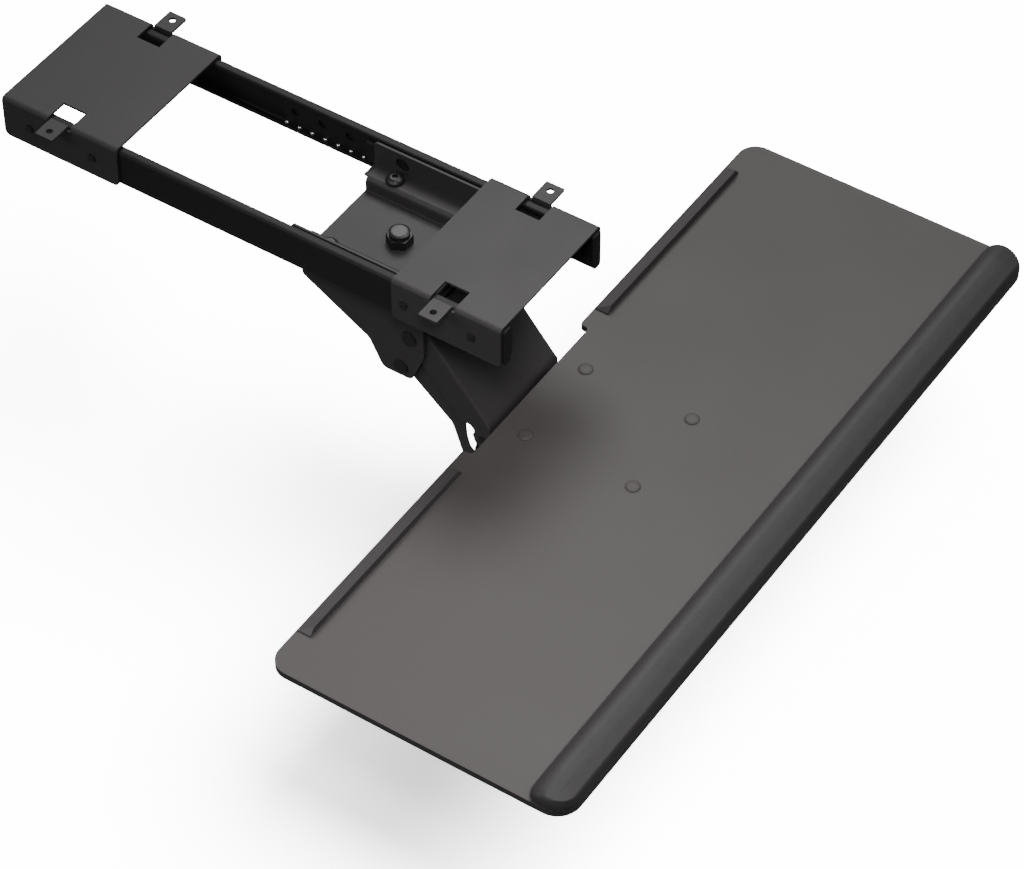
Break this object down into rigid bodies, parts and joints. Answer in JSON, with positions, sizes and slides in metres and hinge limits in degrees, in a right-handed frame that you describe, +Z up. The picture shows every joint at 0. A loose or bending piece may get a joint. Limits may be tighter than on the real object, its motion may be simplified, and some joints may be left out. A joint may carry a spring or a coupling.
{
  "type": "keyboard tray under desk",
  "caption": "Under-desk keyboard tray on a ball-slide track, with a swivelling parallel-link lift arm, tilting board, keyboard stops and a padded palm rest.",
  "frame": {"origin": "centre of the front bracket's top face, on the desk's underside", "axes": "+X across the tray, +Y back under the desk away from the user, +Z up"},
  "size_m": [0.686, 0.7145, 0.1991],
  "materials": {
    "powder_black": "matt powder coat",
    "slide_black": "satin black",
    "hardware_black": "satin black",
    "board_grey": "matt laminate",
    "pad_black": "soft grained cover",
    "bearing_grey": "satin"
  },
  "bodies": {
    "desk_frame": {"bracket_front": "powder_black", "bracket_rear": "powder_black", "outer_slide_left": "slide_black", "outer_slide_right": "slide_black", "slide_rivet_left_1": "hardware_black", "slide_rivet_left_2": "hardware_black", "slide_rivet_left_3": "hardware_black", "slide_rivet_left_4": "hardware_black", "slide_rivet_right_1": "hardware_black", "slide_rivet_right_2": "hardware_black", "slide_rivet_right_3": "hardware_black", "slide_rivet_right_4": "hardware_black"},
    "cage_left": {"ball_cage_left": "slide_black"},
    "cage_right": {"ball_cage_right": "slide_black"},
    "carriage": {"inner_slide_left": "slide_black", "inner_slide_right": "slide_black", "carriage_angle_left": "powder_black", "carriage_angle_right": "powder_black", "carriage_screw_left_front": "hardware_black", "carriage_screw_left_rear": "hardware_black", "carriage_screw_right_front": "hardware_black", "carriage_screw_right_rear": "hardware_black", "carriage_plate": "powder_black", "swivel_disc": "bearing_grey"},
    "lift": {"lift_bracket": "powder_black", "swivel_bolt": "hardware_black", "swivel_nut": "hardware_black", "upper_pivot_pin": "hardware_black", "lower_pivot_pin": "hardware_black"},
    "upper_link": {"arm_cover": "powder_black"},
    "lower_link": {"lower_link": "powder_black"},
    "head": {"head_bracket": "powder_black", "head_upper_pin": "hardware_black", "head_lower_pin": "hardware_black", "tilt_pin": "hardware_black"},
    "tray": {"mounting_plate": "powder_black", "tray_board": "board_grey", "tray_bolt_left_rear": "hardware_black", "tray_bolt_left_front": "hardware_black", "tray_bolt_right_rear": "hardware_black", "tray_bolt_right_front": "hardware_black", "tray_nut_left_rear": "hardware_black", "tray_nut_left_front": "hardware_black", "tray_nut_right_rear": "hardware_black", "tray_nut_right_front": "hardware_black", "keyboard_stop_left": "board_grey", "keyboard_stop_right": "board_grey", "palm_rest": "pad_black"}
  },
  "joints": [
    {"name": "track_slide", "type": "slide", "parent": "desk_frame", "child": "carriage", "axis": [0, 1, 0], "range_m": [0, 0.22]},
    {"name": "cage_slide_left", "type": "slide", "parent": "desk_frame", "child": "cage_left", "axis": [0, 1, 0], "range_m": [0, 0.11]},
    {"name": "cage_slide_right", "type": "slide", "parent": "desk_frame", "child": "cage_right", "axis": [0, 1, 0], "range_m": [0, 0.11]},
    {"name": "swivel", "type": "hinge", "parent": "carriage", "child": "lift", "pos_m": [0, 0.09065, -0.041], "axis": [0, 0, 1], "continuous": true},
    {"name": "arm_lift", "type": "hinge", "parent": "lift", "child": "upper_link", "pos_m": [0, 0.0469, -0.0761], "axis": [-1, 0, 0], "range_deg": [-6, 36]},
    {"name": "lower_link_lift", "type": "hinge", "parent": "lift", "child": "lower_link", "pos_m": [0, 0.0554, -0.1114], "axis": [-1, 0, 0], "range_deg": [-6, 36]},
    {"name": "head_level", "type": "hinge", "parent": "upper_link", "child": "head", "pos_m": [0, -0.01929, -0.15554], "axis": [-1, 0, 0], "range_deg": [-36, 6]},
    {"name": "tray_tilt", "type": "hinge", "parent": "head", "child": "tray", "pos_m": [0, -0.04595, -0.16], "axis": [-1, 0, 0], "range_deg": [-10, 10]}
  ],
  "couplings": [
    {"joint": "cage_slide_left", "follows": "track_slide", "ratio": 0.5},
    {"joint": "cage_slide_right", "follows": "track_slide", "ratio": 0.5},
    {"joint": "lower_link_lift", "follows": "arm_lift", "ratio": 1},
    {"joint": "head_level", "follows": "arm_lift", "ratio": -1}
  ]
}
